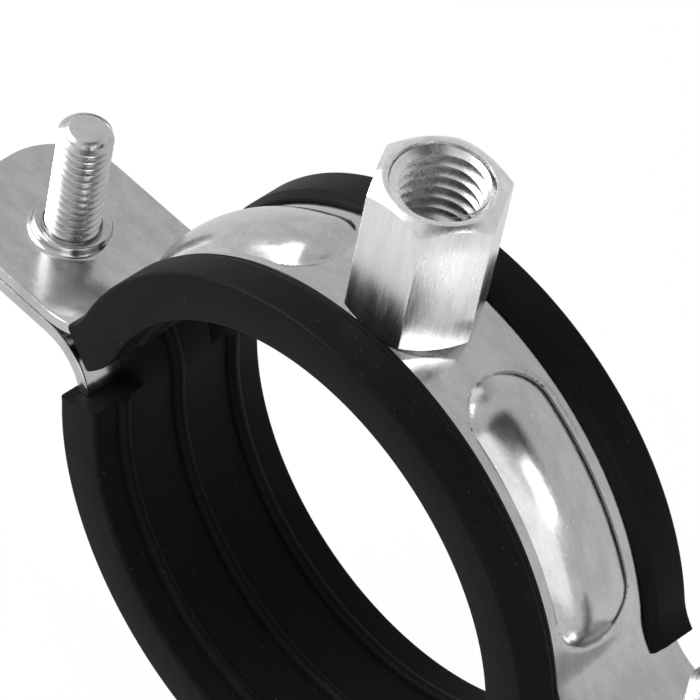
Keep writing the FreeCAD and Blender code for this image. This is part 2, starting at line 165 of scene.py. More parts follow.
def tidy_mesh(mesh: bpy.types.Mesh, sharp: float = SHARP_ANGLE) -> None:
    """Merge doubles, turn the faces outwards and shade a mesh smooth.

    Args:
        mesh: The mesh to tidy.
        sharp: The angle in degrees past which an edge stays sharp.
    """
    work = bmesh.new()
    work.from_mesh(mesh)
    bmesh.ops.remove_doubles(work, verts=work.verts, dist=MERGE_DISTANCE * MM)
    bmesh.ops.dissolve_degenerate(work, edges=work.edges, dist=SMALLEST_EDGE * MM)
    bmesh.ops.recalc_face_normals(work, faces=work.faces)
    work.to_mesh(mesh)
    work.free()
    mesh.polygons.foreach_set("use_smooth", [True] * len(mesh.polygons))
    mesh.set_sharp_from_angle(angle=math.radians(sharp))


def quads(rows: int, columns: int, wrap_rows: bool = False) -> list[tuple[int, ...]]:
    """List the quads of a grid whose columns close into a loop.

    Args:
        rows: The number of rows of points.
        columns: The number of points in each row.
        wrap_rows: Whether the last row joins the first.

    Returns:
        The faces, as indices into the rows laid end to end.
    """
    faces = []
    for row in range(rows if wrap_rows else rows - 1):
        above = (row + 1) % rows
        for column in range(columns):
            beside = (column + 1) % columns
            faces.append((row * columns + column, row * columns + beside,
                          above * columns + beside, above * columns + column))
    return faces


def rounded_outline(corners: list[tuple[float, float, float]], steps: int = 5) -> list[Point]:
    """Round the corners of a closed outline.

    Args:
        corners: The corners in order, each with its own radius.
        steps: The number of points on each rounded corner.

    Returns:
        The points of the rounded outline.
    """
    outline: list[Point] = []
    for number, (across, up, radius) in enumerate(corners):
        here = Vector((across, up))
        before = (Vector(corners[number - 1][:2]) - here).normalized()
        after = (Vector(corners[(number + 1) % len(corners)][:2]) - here).normalized()
        if radius == 0 or abs(before.dot(after)) > STRAIGHT_ON:
            outline.append((across, up))
            continue
        half_angle = before.angle(after) / 2
        middle = here + (before + after).normalized() * radius / math.sin(half_angle)
        first = here + before * radius / math.tan(half_angle) - middle
        last = here + after * radius / math.tan(half_angle) - middle
        sweep = first.angle_signed(last)
        for step in range(steps):
            turned = first.copy()
            turned.rotate(Matrix.Rotation(-sweep * step / (steps - 1), 2))
            outline.append(tuple(middle + turned))
    return outline


def plain_copy(piece: bpy.types.Object) -> None:
    """Turn the result of a piece's modifiers into its plain mesh, and remove them.

    Args:
        piece: The piece whose modifiers are to be applied.
    """
    ready = piece.evaluated_get(bpy.context.evaluated_depsgraph_get())
    mesh = bpy.data.meshes.new_from_object(ready)
    piece.modifiers.clear()
    piece.data = mesh


def cut_away(piece: bpy.types.Object, tools: list[bpy.types.Object]) -> None:
    """Cut closed tools out of a piece, and delete the tools.

    Args:
        piece: The piece to cut.
        tools: The objects whose volumes are taken away.
    """
    for tool in tools:
        boolean = piece.modifiers.new("cut", "BOOLEAN")
        boolean.operation = "DIFFERENCE"
        boolean.solver = "EXACT"
        boolean.object = tool
    plain_copy(piece)
    for tool in tools:
        bpy.data.objects.remove(tool)


def lathe(name: str, profile: list[Point], centre_x: float = 0.0, closed: bool = False,
          around: int = 96) -> bpy.types.Object:
    """Turn a profile about an upright axis.

    Args:
        name: The name of the piece.
        profile: Points of radius and height, in millimetres.
        centre_x: The X coordinate of the axis.
        closed: Whether the profile is a closed outline, as a ring's is.
        around: The number of points round the axis.

    Returns:
        The turned piece.
    """
    turns = np.linspace(0, FULL_TURN, around, endpoint=False)
    rows = [np.column_stack((centre_x + radius * np.cos(turns), radius * np.sin(turns),
                             np.full(around, height))) for radius, height in profile]
    return mesh_piece(name, np.vstack(rows), quads(len(profile), around, wrap_rows=closed))


# The ring path that bands and linings share


@dataclass(frozen=True)
class RingPath:
    """The run of one half: round the pipe, outwards in a bend, and along the flange."""

    half: Half

    @property
    def bend_centre(self) -> Point:
        """Give the centre of the outward bend on the right side, with the half upright."""
        height = self.flange_height + SIZES.thickness + self.flare
        return math.sqrt(self.reach**2 - height**2), height

    @property
    def flare(self) -> float:
        """Give the outer radius of the outward bend."""
        return SIZES.upper_flare if self.half is Half.UPPER else SIZES.lower_flare

    @property
    def flange_height(self) -> float:
        """Give the height of the flange's meeting face, with the half upright."""
        return self.half.value * SIZES.parting_height + SIZES.flange_gap / 2

    @property
    def reach(self) -> float:
        """Give the distance from the pipe's axis to the centre of the bend."""
        return SIZES.band_outer + self.flare

    @property
    def meeting_angle(self) -> float:
        """Give the angle above level at which the ring turns into the bend."""
        centre_x, centre_z = self.bend_centre
        return math.atan2(centre_z, centre_x)

    def ring_stations(self, count: int) -> list[Station]:
        """Give stations round the pipe, from the right bend to the left one.

        Args:
            count: The number of stations.

        Returns:
            For each station the base point and the direction in which radius grows, all in X and Z.
        """
        meet = self.meeting_angle
        return [(0.0, 0.0, math.cos(turn), math.sin(turn))
                for turn in np.linspace(meet, math.pi - meet, count)]

    def bend_stations(self, count: int, heading: float = 0.0) -> list[Station]:
        """Give stations along the right bend, from its end towards the ring.

        Args:
            count: The number of stations.
            heading: The steepness in degrees at the bend's end, none where the flange follows.

        Returns:
            The stations, leaving out the one that the ring begins with.
        """
        centre_x, centre_z = self.bend_centre
        last = 1.5 * math.pi - math.radians(heading)
        turns = np.linspace(last, math.pi + self.meeting_angle, count + 1)[:-1]
        return [(centre_x + self.reach * math.cos(turn), centre_z + self.reach * math.sin(turn),
                 -math.cos(turn), -math.sin(turn)) for turn in turns]

    def flange_stations(self, places: np.ndarray) -> list[Station]:
        """Give stations on the right flange at the given X coordinates."""
        centre_z = self.bend_centre[1]
        return [(place, centre_z - self.reach, 0.0, 1.0) for place in places]


def mirrored(stations: list[Station]) -> list[Station]:
    """Give the left side's stations for those of the right side, in the same order."""
    return [(-base_x, base_z, -turn_x, turn_z) for base_x, base_z, turn_x, turn_z in stations]


def both_sides(right: list[Station], ring: list[Station]) -> list[Station]:
    """Join the right side's stations, the ring's and the mirrored right side's into one run."""
    return right + ring + mirrored(right)[::-1]


def sweep(name: str, half: Half, stations: list[Station], outline: list[Point],
          widths: list[float] | None = None,
          rise: Callable[[float, float, float], float] | None = None,
          sharp: float = SHARP_ANGLE) -> bpy.types.Object:
    """Carry an outline of sideways place and radius along a run of stations.

    Args:
        name: The name of the piece.
        half: The half of the clamp, which turns the run over for the lower one.
        stations: The run.
        outline: The closed outline.
        widths: How much of the outline's width each station keeps, or all of it.
        rise: A function that lifts a point outwards, from its arc length from the top, which is infinite
            in a bend, its sideways place and its radius.
        sharp: The angle in degrees past which an edge stays sharp.

    Returns:
        The closed piece.
    """
    points = []
    for number, (base_x, base_z, turn_x, turn_z) in enumerate(stations):
        keep = widths[number] if widths else 1.0
        on_ring = base_x == 0 and base_z == 0
        along = SIZES.band_outer * math.atan2(turn_x, turn_z) if on_ring else math.inf
        for across, radius in outline:
            lifted = radius + (rise(along, across, radius) if rise else 0.0)
            points.append((base_x + turn_x * lifted, across * keep,
                           half.value * (base_z + turn_z * lifted)))
    size = len(outline)
    faces = quads(len(stations), size)
    faces.append(tuple(range(size)))
    faces.append(tuple(range(len(points) - size, len(points))))
    return mesh_piece(name, np.array(points), faces, sharp)


# Shader groups that more than one finish uses


Joins = list[tuple[bpy.types.NodeSocket, bpy.types.NodeSocket]]


def join(tree: bpy.types.NodeTree, joins: Joins) -> None:
    """Link pairs of an output and an input in a node tree."""
    for source, target in joins:
        tree.links.new(source, target)


def set_inputs(node: bpy.types.Node, settings: dict[str, object]) -> None:
    """Set a node's inputs by name."""
    for name, value in settings.items():
        node.inputs[name].default_value = value


def declare(tree: bpy.types.NodeTree, inputs: dict[str, str], outputs: dict[str, str]) -> None:
    """Give a node group its named inputs and outputs.

    Args:
        tree: The group's tree.
        inputs: The kind of each input by name, such as Float or Vector.
        outputs: The kind of each output by name.
    """
    for in_out, sockets in (("INPUT", inputs), ("OUTPUT", outputs)):
        for name, kind in sockets.items():
            tree.interface.new_socket(name, in_out=in_out, socket_type=f"NodeSocket{kind}")


def grain_group() -> bpy.types.NodeTree:
    """Build the shader group of fine uneven grain, stretched by its scale.

    Returns:
        A group with the input Scale and the outputs Mask and Height.
    """
    tree = bpy.data.node_groups.new("fine_grain", "ShaderNodeTree")
    declare(tree, {"Scale": "Vector"}, {"Mask": "Float", "Height": "Float"})
    add = tree.nodes.new
    inlet, outlet = add("NodeGroupInput"), add("NodeGroupOutput")
    place, stretch, blend = add("ShaderNodeTexCoord"), add("ShaderNodeVectorMath"), add("ShaderNodeMath")
    fine, broad = add("ShaderNodeTexNoise"), add("ShaderNodeTexNoise")
    stretch.operation, blend.operation = "MULTIPLY", "MULTIPLY_ADD"
    set_inputs(fine, {"Scale": 1.0, "Detail": FINE_DETAIL})
    set_inputs(broad, {"Scale": BROAD_SCALE, "Detail": BROAD_DETAIL})
    blend.inputs[1].default_value = FINE_SHARE
    join(tree, [(place.outputs["Object"], stretch.inputs[0]), (inlet.outputs["Scale"], stretch.inputs[1]),
                (stretch.outputs[0], fine.inputs["Vector"]), (stretch.outputs[0], broad.inputs["Vector"]),
                (fine.outputs["Fac"], blend.inputs[0]), (broad.outputs["Fac"], blend.inputs[2]),
                (blend.outputs[0], outlet.inputs["Mask"]), (fine.outputs["Fac"], outlet.inputs["Height"])])
    return tree


def speck_group() -> bpy.types.NodeTree:
    """Build the shader group of small scattered specks, as of dust or zinc crystals.

    Returns:
        A group with inputs Scale and Spread and the output Mask, which is 1 on a speck.
    """
    tree = bpy.data.node_groups.new("scattered_specks", "ShaderNodeTree")
    declare(tree, {"Scale": "Float", "Spread": "Float"}, {"Mask": "Float"})
    add = tree.nodes.new
    inlet, outlet = add("NodeGroupInput"), add("NodeGroupOutput")
    place, cells, noise = add("ShaderNodeTexCoord"), add("ShaderNodeTexVoronoi"), add("ShaderNodeTexNoise")
    size, near = add("ShaderNodeMath"), add("ShaderNodeMath")
    size.operation, near.operation = "MULTIPLY", "LESS_THAN"
    noise.inputs["Detail"].default_value = 1.0
    scale = inlet.outputs["Scale"]
    join(tree, [(place.outputs["Object"], cells.inputs["Vector"]), (scale, cells.inputs["Scale"]),
                (place.outputs["Object"], noise.inputs["Vector"]), (scale, noise.inputs["Scale"]),
                (noise.outputs["Fac"], size.inputs[0]), (inlet.outputs["Spread"], size.inputs[1]),
                (cells.outputs["Distance"], near.inputs[0]), (size.outputs[0], near.inputs[1]),
                (near.outputs[0], outlet.inputs["Mask"])])
    return tree


GRAIN = grain_group()
SPECKS = speck_group()


def new_material(name: str) -> tuple[bpy.types.Material, bpy.types.Node]:
    """Make a material with only a Principled shader.

    Args:
        name: The material's name.

    Returns:
        The material and its shader node.
    """
    material = bpy.data.materials.new(name)
    material.use_nodes = True
    return material, material.node_tree.nodes["Principled BSDF"]


def place_group(tree: bpy.types.NodeTree, group: bpy.types.NodeTree, **settings: object) -> bpy.types.Node:
    """Place a shared shader group in a material.

    Args:
        tree: The material's tree.
        group: The shader group.
        settings: The group's inputs by name.

    Returns:
        The group's node.
    """
    node = tree.nodes.new("ShaderNodeGroup")
    node.node_tree = group
    set_inputs(node, settings)
    return node


def speckle(tree: bpy.types.NodeTree, shader: bpy.types.Node, colour: bpy.types.NodeSocket,
            scale: float, tone: float) -> None:
    """Scatter small specks over a colour and give it to the shader.

    Args:
        tree: The material's tree.
        shader: The shader whose base colour it is.
        colour: The colour between the specks.
        scale: How many cells of specks a metre holds.
        tone: The grey of the specks.
    """
    specks = place_group(tree, SPECKS, Scale=scale, Spread=SPECK_SPREAD)
    mix = tree.nodes.new("ShaderNodeMix")
    mix.data_type = "RGBA"
    mix.inputs["B"].default_value = (tone, tone, tone, 1)
    join(tree, [(specks.outputs["Mask"], mix.inputs["Factor"]), (colour, mix.inputs["A"]),
                (mix.outputs["Result"], shader.inputs["Base Color"])])


def roughen(tree: bpy.types.NodeTree, shader: bpy.types.Node, height: bpy.types.NodeSocket,
            strength: float, depth: float) -> None:
    """Bump the shader's normal by a height.

    Args:
        tree: The material's tree.
        shader: The shader whose normal it is.
        height: The height, from 0 to 1.
        strength: How much of the bump shows.
        depth: The depth in millimetres that a height of 1 stands for.
    """
    bump = tree.nodes.new("ShaderNodeBump")
    bump.inputs["Strength"].default_value = strength
    bump.inputs["Distance"].default_value = depth * MM
    join(tree, [(height, bump.inputs["Height"]), (bump.outputs["Normal"], shader.inputs["Normal"])])


def ramp(tree: bpy.types.NodeTree, source: bpy.types.NodeSocket, low: tuple, high: tuple,
         start: float, stop: float) -> bpy.types.NodeSocket:
    """Spread a value over two colours.

    Args:
        tree: The material's tree.
        source: The value.
        low: The colour at and below start.
        high: The colour at and above stop.
        start: The value where the change begins.
        stop: The value where it ends.

    Returns:
        The colour output.
    """
    node = tree.nodes.new("ShaderNodeValToRGB")
    for element, position, colour in zip(node.color_ramp.elements, (start, stop), (low, high), strict=True):
        element.position, element.color = position, (*colour, 1)
    tree.links.new(source, node.inputs["Fac"])
    return node.outputs["Color"]


@dataclass(frozen=True)
class ZincFinish:
    """Bright zinc plating, with grain that may be drawn out along one direction."""

    name: str
    tone: float
    roughness: float
    scale: tuple[float, float, float]
    relief: float
    relief_depth: float = 0.02
    specks: float = 900.0

    def material(self) -> bpy.types.Material:
        """Build the material.

        Returns:
            The finished material.
        """
        material, shader = new_material(self.name)
        tree = material.node_tree
        grain = place_group(tree, GRAIN, Scale=self.scale)
        dark, light = self.tone * 0.86, self.tone * 1.1
        colour = ramp(tree, grain.outputs["Mask"], (dark, dark, dark * 0.99), (light, light, light * 0.995),
                      0.45, 1.05)
        speckle(tree, shader, colour, self.specks, light * 1.15)
        span = tree.nodes.new("ShaderNodeMapRange")
        set_inputs(span, {"From Min": 0.4, "From Max": 1.1, "To Min": self.roughness * 0.8,
                          "To Max": self.roughness * 1.35})
        join(tree, [(grain.outputs["Mask"], span.inputs["Value"]),
                    (span.outputs["Result"], shader.inputs["Roughness"])])
        roughen(tree, shader, grain.outputs["Height"], self.relief, self.relief_depth)
        shader.inputs["Metallic"].default_value = 1.0
        return material


@dataclass(frozen=True)
class RubberFinish:
    """Matt black moulded rubber with faint grain and a little dust."""

    name: str
    tone: float
    roughness: float
    scale: tuple[float, float, float] = (2600, 2600, 2600)
    relief: float = 0.35
    relief_depth: float = 0.03
    dust: float = 1000
    dust_tone: float = 0.04
    sheen: float = 0.07

    def material(self) -> bpy.types.Material:
        """Build the material.

        Returns:
            The finished material.
        """
        material, shader = new_material(self.name)
        tree = material.node_tree
        grain = place_group(tree, GRAIN, Scale=self.scale)
        dark, light = self.tone * 0.8, self.tone * 1.25
        colour = ramp(tree, grain.outputs["Mask"], (dark, dark, dark), (light, light, light * 1.02), 0.4, 1.1)
        speckle(tree, shader, colour, self.dust, self.dust_tone)
        roughen(tree, shader, grain.outputs["Height"], self.relief, self.relief_depth)
        set_inputs(shader, {"Roughness": self.roughness, "Specular IOR Level": self.sheen})
        return material


def dress(piece: bpy.types.Object, material: bpy.types.Material, body: str, slot: str,
          *nodes: str) -> None:
    """Give a piece its finish, body and record slot, and say which nodes it stands for.

    Args:
        piece: The finished piece.
        material: Its material.
        body: The body that carries it.
        slot: The record's material slot; not used.
        nodes: The nodes that it replaces.
    """
    piece.data.materials.clear()
    piece.data.materials.append(material)
    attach(piece, body)
    for node in nodes:
        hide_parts(node)
    LOG.info("%s: %d faces", piece.name, len(piece.data.polygons))


# Bands


@dataclass
class Band:
    """One bent steel half band, with pressed beads and tapped collars on the upper one."""

    half: Half
    edge_round: float = 0.22
    bead_half_width: float = 5.05
    bead_first: float = 15.4
    bead_last: float = 35.8
    bead_height: float = 1.7
    bead_fullness: float = 2.3
    bead_crease: float = 0.06
    bead_crease_width: float = 0.45
    hole_play: float = 0.35
    thread_play: float = 0.05
    collar_radius: float = 4.3
    collar_height: float = 1.1
    collar_foot: float = 0.7
    collar_sink: float = 0.6
    drill_past: float = 3.0
    across_steps: int = 89
    ring_steps: int = 500
    bend_steps: int = 18
    flange_steps: int = 14
    corner_steps: int = 16
    sharp: float = 20.0

    def outline(self) -> list[Point]:
        """Give the sheet's section, finely divided across its outer face.

        Returns:
            The closed outline, as sideways places and radii.
        """
        half_width, edge = SIZES.band_width / 2, self.edge_round
        inner, outer = SIZES.band_inner, SIZES.band_outer
        corners = [(half_width, inner, edge), (half_width, outer, edge)]
        across = np.linspace(half_width - 2 * edge, -half_width + 2 * edge, self.across_steps)
        corners += [(place, outer, 0.0) for place in across]
        corners += [(-half_width, outer, edge), (-half_width, inner, edge)]
        corners += [(place, inner, 0.0) for place in across[::-4]]
        return rounded_outline(corners, 4)

    def bead_rise(self, along: float, across: float, radius: float) -> float:
        """Give the height of the pressed bead at a place on the ring.

        Args:
            along: The arc length from the top of the ring.
            across: The sideways place.
            radius: The radius of the point, which tells the outer face from the inner one.

        Returns:
            How far the sheet stands out there.
        """
        past = max(self.bead_first - abs(along), abs(along) - self.bead_last, 0.0)
        from_middle = math.hypot(past, across)
        from_rim = (from_middle - self.bead_half_width) / self.bead_crease_width
        outside = radius > (SIZES.band_inner + SIZES.band_outer) / 2
        dip = self.bead_crease * math.exp(-from_rim * from_rim) if outside else 0.0
        if from_middle >= self.bead_half_width:
            return -dip
        return self.bead_height * (1 - (from_middle / self.bead_half_width)**self.bead_fullness) - dip

    def width_share(self, place: float) -> float:
        """Give how much of its width the flange keeps at an X coordinate, less in its round corners.

        Args:
            place: The X coordinate.

        Returns:
            The share of the width, from 0 to 1.
        """
        corner = SIZES.flange_corner
        into = max(place - SIZES.flange_reach + corner, 0.0)
        lost = corner - math.sqrt(max(corner**2 - into**2, 0.0))
        return 1 - lost / (SIZES.band_width / 2)

    def mesh(self) -> bpy.types.Object:
        """Bend the sheet and cut the holes in its flanges.

        Returns:
            The band, without its collars.
        """
        path, upper = RingPath(self.half), self.half is Half.UPPER
        corner, reach = SIZES.flange_corner, SIZES.flange_reach
        curve = [reach - corner * (1 - math.sin(turn))
                 for turn in np.linspace(math.pi / 2, 0, self.corner_steps)]
        straight = np.linspace(reach - corner, path.bend_centre[0], self.flange_steps)[1:-1]
        places = np.concatenate((curve, straight))
        right = path.flange_stations(places) + path.bend_stations(self.bend_steps)
        kept = [self.width_share(place) for place in places] + [1.0] * self.bend_steps
        stations = both_sides(right, path.ring_stations(self.ring_steps))
        widths = kept + [1.0] * self.ring_steps + kept[::-1]
        band = sweep(f"{self.half.name.lower()}_band_sheet", self.half, stations, self.outline(), widths,
                     self.bead_rise if upper else None, self.sharp)
        radius = SIZES.screw_radius + (self.thread_play if upper else self.hole_play)
        low, high = SIZES.flange_bottom - self.drill_past, SIZES.flange_top + self.drill_past
        drill = [(0, low), (radius, low), (radius, high), (0, high)]
        cut_away(band, [lathe("drill", drill, side.value * SIZES.screw_x) for side in Side])
        tidy_mesh(band.data, self.sharp)
        return band

    def collar(self, side: Side) -> bpy.types.Object:
        """Pull up the rounded collar round a tapped hole.

        Args:
            side: The side of the clamp.

        Returns:
            The collar, a ring that grows out of the flange.
        """
        top, tall, outer, foot = SIZES.flange_top, self.collar_height, self.collar_radius, self.collar_foot
        hole, low = SIZES.screw_radius + self.thread_play, top - self.collar_sink
        sweep_up = [(outer + foot * (1 - math.sin(turn)), top + 0.004 + foot * (1 - math.cos(turn)) * 0.8)
                    for turn in np.linspace(0, math.pi / 2, 7)]
        crown = rounded_outline([(outer, top + 0.3, 0.0), (outer - 0.05, top + tall, 0.42),
                                 (hole, top + tall - 0.12, 0.22), (hole, low, 0.0),
                                 (outer + foot, low, 0.0)], 7)
        return lathe(f"collar_{side.name.lower()}", sweep_up + crown[1:], side.value * SIZES.screw_x,
                     closed=True)

    def build(self, finish: bpy.types.Material) -> None:
        """Build the half band and its collars, and dress them.

        Args:
            finish: The sheet's material.
        """
        name = self.half.name.lower()
        dress(self.mesh(), finish, f"{name}_half", "zinc_sheet", f"{name}_band")
        if self.half is Half.UPPER:
            for side in Side:
                dress(self.collar(side), finish, "upper_half", "zinc_sheet")


# Rubber linings


@dataclass
class Lining:
    """One rubber channel that wraps the edges of a half band, with ribs round its bore."""

    half: Half
    face_round: float = 0.45
    facet_width: float = 1.25
    facet_drop: float = 0.5
    lower_end_heading: float = 72.0
    tongue_end_heading: float = 47.0
    tongue_side: float = 5.0
    tongue_round: float = 0.2
    rib_fullness: float = 1.2
    rib_steps: int = 9
    ring_steps: int = 220
    bend_steps: int = 14
    tongue_steps: int = 20
    sharp: float = 40.0

    @property
    def groove_floor(self) -> float:
        """Give the radius of the groove's floor, just clear of the band."""
        return SIZES.band_inner - SIZES.lining_gap

    def outline(self) -> list[Point]:
        """Give the channel's section: lips, faces, groove and the ribbed bore.

        Returns:
            The closed outline, as sideways places and radii.
        """
        side, inner, outer = SIZES.lining_width / 2, SIZES.lining_inner, SIZES.lip_outer
        groove_side = SIZES.band_width / 2 + SIZES.lining_gap
        under_lip = SIZES.band_outer + SIZES.lining_gap
        tip, drop = SIZES.band_width / 2 - SIZES.lip_reach, self.facet_drop
        facet, middle = tip + self.facet_width, tip + self.facet_width / 2
        right = [(side, inner, self.face_round), (side, outer, self.face_round), (facet, outer, 0.1),
                 (middle, outer - drop * 0.62, 0.06), (middle - 0.1, outer - drop * 0.45, 0.04),
                 (tip, outer - drop, 0.15), (tip, under_lip, 0.05),
                 (groove_side, under_lip, 0.0), (groove_side, self.groove_floor, 0.0)]
        left = [(-across, radius, round_off) for across, radius, round_off in reversed(right)]
        return rounded_outline(right + left + self.bore(-side, side))

    def bore(self, start: float, stop: float) -> list[tuple[float, float, float]]:
        """Give the ribbed bore from one face to the other, as corners that aren't rounded.

        Args:
            start: The sideways place of the first face.
            stop: The sideways place of the other face.

        Returns:
            The corners between them, each with a radius of 0.
        """
        corners = []
        for number in (-1, 0, 1):
            centre = number * SIZES.rib_pitch
            for turn in np.linspace(-math.pi / 2, math.pi / 2, self.rib_steps):
                across = centre + math.sin(turn) * SIZES.rib_width / 2
                rise = SIZES.rib_height * math.cos(turn) ** self.rib_fullness
                corners.append((across, SIZES.lining_inner - rise, 0.0))
        return [corner for corner in corners if start < corner[0] < stop]

    def without_ribs(self, along: float, across: float, radius: float) -> float:
        """Flatten the upper lining's ribs in the bends, where they run out.

        Args:
            along: The arc length from the top of the ring, infinite in a bend.
            across: The sideways place, which makes no difference.
            radius: The radius of the point.

        Returns:
            How far the point is moved outwards.
        """
        in_bend = math.isinf(along) and radius < SIZES.lining_inner
        return SIZES.lining_inner - radius if in_bend else 0.0

    def build(self, finish: bpy.types.Material) -> None:
        """Build the lining and dress it.

        Args:
            finish: The rubber's material.
        """
        path, upper, name = RingPath(self.half), self.half is Half.UPPER, self.half.name.lower()
        heading = SIZES.lining_end_heading if upper else self.lower_end_heading
        run = both_sides(path.bend_stations(self.bend_steps, heading), path.ring_stations(self.ring_steps))
        piece = sweep(f"{name}_lining_rubber", self.half, run, self.outline(),
                      rise=self.without_ribs if upper else None, sharp=self.sharp)
        dress(piece, finish, f"{name}_half", "lining_rubber", f"{name}_lining")
        if not upper:
            self.tongues(path, finish)

    def tongues(self, path: RingPath, finish: bpy.types.Material) -> None:
        """Build the lower lining's middle, which runs on past the lips' ends over the metal's bend.

        Args:
            path: The lower half's run.
            finish: The rubber's material.
        """
        side, inner = self.tongue_side, SIZES.lining_inner
        outline = rounded_outline([(side, inner, self.tongue_round), (side, self.groove_floor, 0.0),
                                   (-side, self.groove_floor, 0.0), (-side, inner, self.tongue_round)]
                                  + self.bore(-side, side))
        right = path.bend_stations(self.tongue_steps, self.tongue_end_heading)
        for word, stations in (("right", right), ("left", mirrored(right))):
            piece = sweep(f"{word}_lining_tongue", self.half, stations, outline, sharp=self.sharp)
            dress(piece, finish, "lower_half", "lining_rubber")


# Threads, made by Geometry Nodes


@dataclass(frozen=True)
class Ridge:
    """The ridge of one kind of thread: its pitch, its middle's depth under the crest, and its section."""

    pitch: float
    inset: float
    depth: float
    inner_width: float
    outer_width: float


class ThreadTree:
    """A Geometry Nodes tree that winds a ridge of a thread along a helix."""

    LENGTHS = ("Pitch", "Radius", "Depth", "Inner Width", "Outer Width", "Bottom", "Centre X")
    STEPS_A_TURN = 72
    THINNEST = 0.05
    SHARP = 25.0

    def __init__(self) -> None:
        """Build the tree once, with its named inputs in millimetres apart from the turns."""
        self.tree = bpy.data.node_groups.new("thread_ridge", "GeometryNodeTree")
        tree, add = self.tree, self.tree.nodes.new
        numbers = dict.fromkeys(("Turns", *self.LENGTHS), "Float")
        declare(tree, {"Geometry": "Geometry", **numbers, "Finish": "Material"}, {"Geometry": "Geometry"})
        self.inlet, outlet = add("NodeGroupInput"), add("NodeGroupOutput")
        spiral, ridge = add("GeometryNodeCurveSpiral"), add("GeometryNodeCurvePrimitiveQuadrilateral")
        ridge.mode = "TRAPEZOID"
        upright, carry = add("GeometryNodeSetCurveNormal"), add("GeometryNodeCurveToMesh")
        upright.mode = "Z_UP"
        shift, turned = add("GeometryNodeTransform"), add("GeometryNodeTransform")
        realize, paint = add("GeometryNodeRealizeInstances"), add("GeometryNodeSetMaterial")
        place = add("ShaderNodeCombineXYZ")
        set_inputs(spiral, {"Resolution": self.STEPS_A_TURN})
        set_inputs(ridge, {"Offset": 0.0})
        set_inputs(carry, {"Fill Caps": True})
        set_inputs(turned, {"Rotation": (0, 0, math.pi / 2)})
        turns, radius = self.inlet.outputs["Turns"], self.length("Radius")
        join(tree, [(turns, spiral.inputs["Rotations"]), (radius, spiral.inputs["Start Radius"]),
                    (radius, spiral.inputs["End Radius"]),
                    (self.maths("MULTIPLY", self.length("Pitch"), turns), spiral.inputs["Height"]),
                    (self.length("Depth"), ridge.inputs["Height"]),
                    (self.length("Inner Width"), ridge.inputs["Bottom Width"]),
                    (self.length("Outer Width"), ridge.inputs["Top Width"]),
                    (ridge.outputs["Curve"], turned.inputs["Geometry"]),
                    (spiral.outputs["Curve"], upright.inputs["Curve"]),
                    (upright.outputs["Curve"], carry.inputs["Curve"]),
                    (turned.outputs["Geometry"], carry.inputs["Profile Curve"]),
                    (self.end_fade(), carry.inputs["Scale"]),
                    (carry.outputs["Mesh"], shift.inputs["Geometry"]),
                    (self.length("Centre X"), place.inputs["X"]), (self.length("Bottom"), place.inputs["Z"]),
                    (place.outputs["Vector"], shift.inputs["Translation"]),
                    (shift.outputs["Geometry"], realize.inputs["Geometry"]),
                    (realize.outputs["Geometry"], paint.inputs["Geometry"]),
                    (self.inlet.outputs["Finish"], paint.inputs["Material"]),
                    (paint.outputs["Geometry"], outlet.inputs["Geometry"])])

    def maths(self, operation: str, first: object, second: object) -> bpy.types.NodeSocket:
        """Add a math node whose inputs are sockets or plain numbers.

        Args:
            operation: The node's operation.
            first: Its first input.
            second: Its second input.

        Returns:
            The node's output.
        """
        node = self.tree.nodes.new("ShaderNodeMath")
        node.operation = operation
        for number, value in enumerate((first, second)):
            if isinstance(value, bpy.types.NodeSocket):
                self.tree.links.new(value, node.inputs[number])
            else:
                node.inputs[number].default_value = value
        return node.outputs[0]

    def length(self, name: str) -> bpy.types.NodeSocket:
        """Give an input in metres."""
        return self.maths("MULTIPLY", self.inlet.outputs[name], MM)

    def end_fade(self) -> bpy.types.NodeSocket:
        """Give the ridge's scale along the helix, which runs out over the first and last half turn.

        Returns:
            The scale, from almost none to 1.
        """
        run = self.tree.nodes.new("GeometryNodeSplineParameter").outputs["Factor"]
        from_start = self.maths("MULTIPLY", run, self.inlet.outputs["Turns"])
        back = self.maths("SUBTRACT", 1.0, run)
        from_end = self.maths("MULTIPLY", back, self.inlet.outputs["Turns"])
        nearest = self.maths("MINIMUM", from_start, from_end)
        doubled = self.maths("MULTIPLY", nearest, 2.0)
        return self.maths("MINIMUM", self.maths("MAXIMUM", doubled, self.THINNEST), 1.0)

    def wind(self, name: str, finish: bpy.types.Material, ridge: Ridge, radius: float, bottom: float,
             turns: float, centre_x: float = 0.0) -> bpy.types.Object:
        """Wind one thread ridge and turn it into a plain mesh.

        Args:
            name: The name of the piece.
            finish: Its material.
            ridge: The kind of ridge.
            radius: The thread's outer radius.
            bottom: The height where it starts.
            turns: How many times it goes round.
            centre_x: The X coordinate of its axis.

        Returns:
            The plain mesh object.
        """
        piece = link(name, bpy.data.meshes.new(name))
        modifier = piece.modifiers.new("thread", "NODES")
        modifier.node_group = self.tree
        sockets = {item.name: item.identifier for item in self.tree.interface.items_tree
                   if item.item_type == "SOCKET" and item.in_out == "INPUT"}
        lengths = (ridge.pitch, radius - ridge.inset, ridge.depth, ridge.inner_width, ridge.outer_width,
                   bottom, centre_x)
        for key, number in zip(("Turns", *self.LENGTHS), (turns, *lengths), strict=True):
            modifier[sockets[key]] = float(number)
        modifier[sockets["Finish"]] = finish
        plain_copy(piece)
        tidy_mesh(piece.data, self.SHARP)
        return piece


# Connection nut


